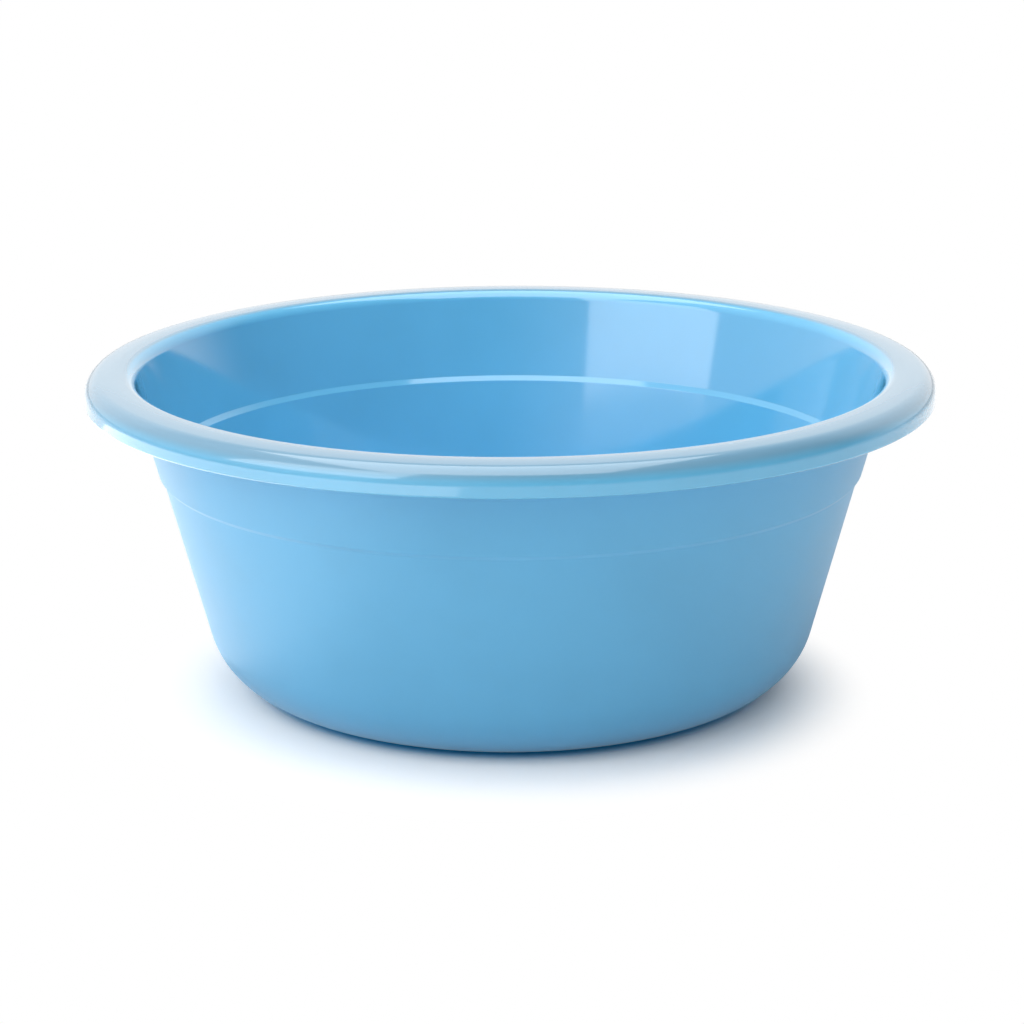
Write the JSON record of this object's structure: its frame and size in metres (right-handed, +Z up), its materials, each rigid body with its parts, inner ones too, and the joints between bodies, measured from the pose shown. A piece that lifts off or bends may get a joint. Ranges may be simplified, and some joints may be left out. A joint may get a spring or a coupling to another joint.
{
  "type": "washing up bowl",
  "caption": "Round light blue plastic washing up bowl with a wide domed rim that turns down into an open lip, a stepped upper band, a tapered wall and a flat foot ring.",
  "frame": {"origin": "middle of the foot, on the surface that the bowl stands on", "axes": "+Z up along the bowl's axis, out of its mouth; X and Y are level and alike, because the bowl is round"},
  "size_m": [0.3614, 0.3612, 0.1389],
  "materials": {
    "light_blue_plastic": "gloss"
  },
  "bodies": {
    "root": {"bowl": "light_blue_plastic"}
  },
  "joints": []
}
